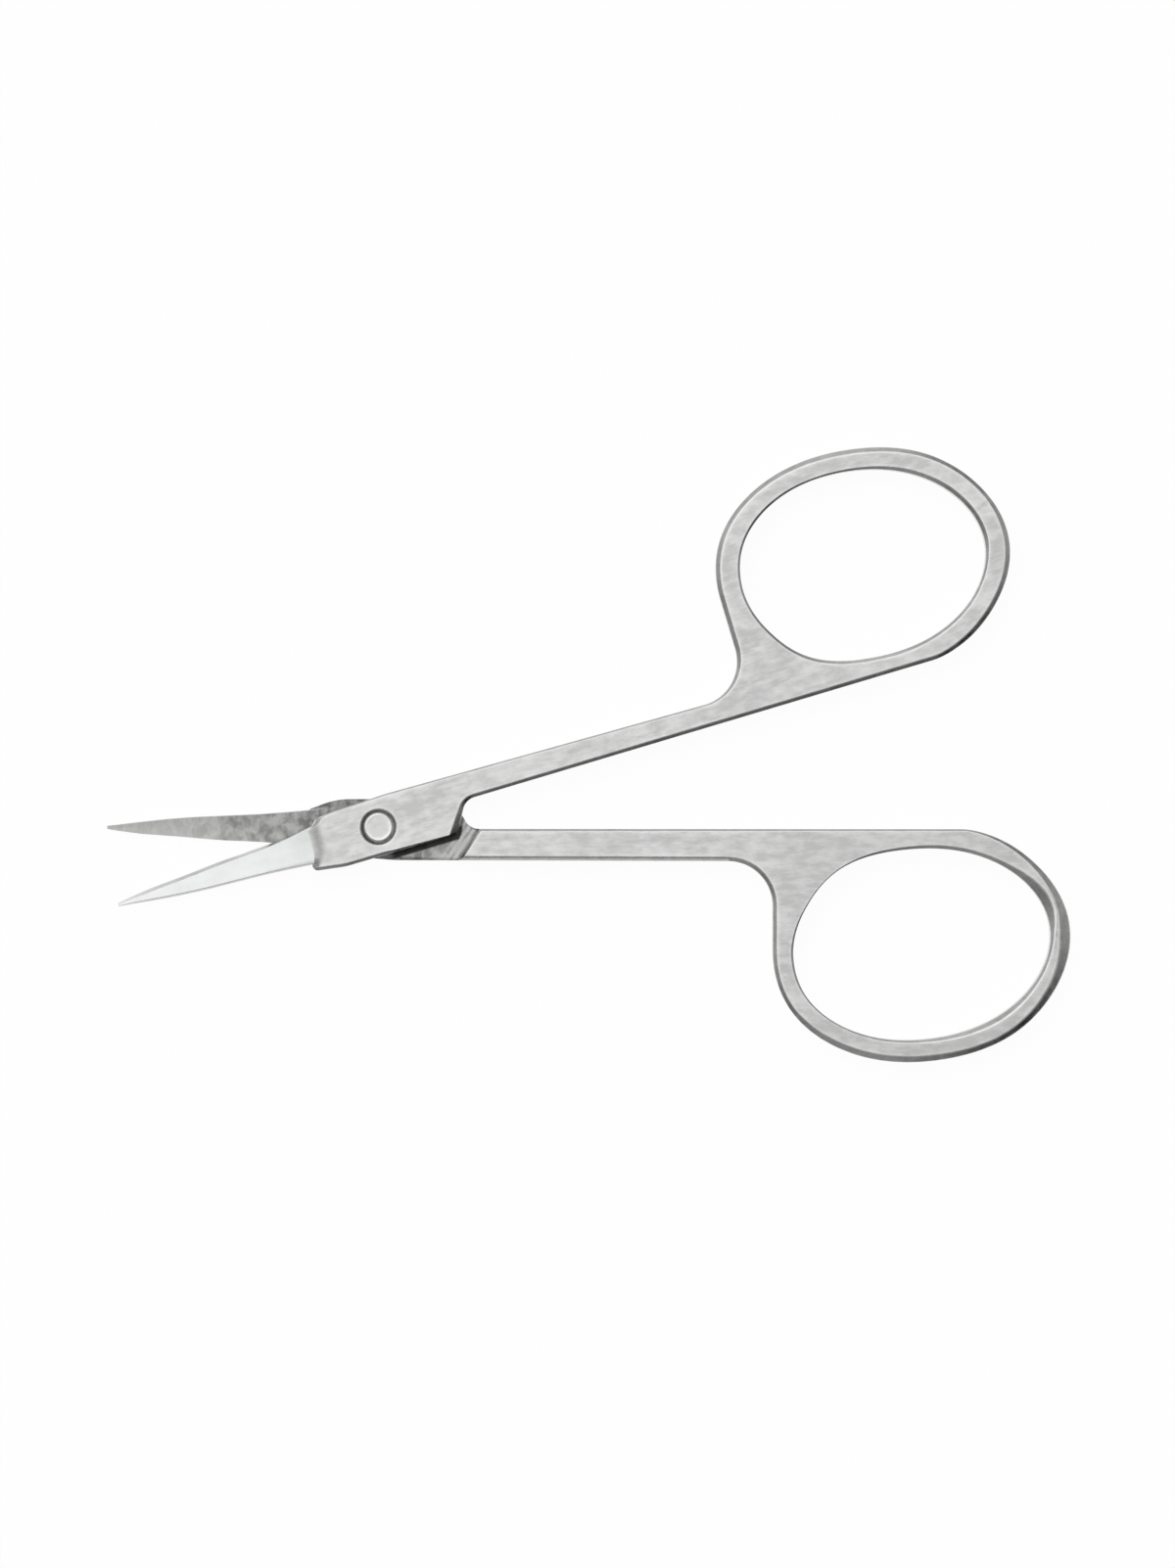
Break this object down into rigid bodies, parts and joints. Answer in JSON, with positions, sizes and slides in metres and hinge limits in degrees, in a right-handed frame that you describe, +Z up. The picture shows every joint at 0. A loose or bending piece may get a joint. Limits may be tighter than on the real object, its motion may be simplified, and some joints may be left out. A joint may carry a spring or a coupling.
{
  "type": "eyebrow scissors",
  "caption": "Slim straight scissors for trimming eyebrows, with pointed blades, flat steel shanks, oval finger rings and a flush rivet to turn on.",
  "frame": {"origin": "on the rivet's axis, on the flat plane that the scissors rest on, which is the rivet head's flat face", "axes": "+X toward the finger rings along the finger half's inner edge, +Z up through the front face; the finger half's ring is on the -Y side and the thumb half's on the +Y side"},
  "size_m": [0.09, 0.0575, 0.0028],
  "materials": {
    "thumb_half_steel": "fine lengthwise brushing on the flats, polished outer blade face, softly rounded edges",
    "finger_half_steel": "fine lengthwise brushing on the flats, mottled ground inner blade face",
    "rivet_steel": "satin turned end with a small break round it"
  },
  "bodies": {
    "finger_side": {"finger_half": "finger_half_steel", "pivot_rivet": "rivet_steel"},
    "thumb_side": {"thumb_half": "thumb_half_steel"}
  },
  "joints": [
    {"name": "scissor_pivot", "type": "hinge", "parent": "finger_side", "child": "thumb_side", "pos_m": [0, 0, 0.0014], "axis": [0, 0, 1], "range_deg": [-16.6, 125]}
  ]
}
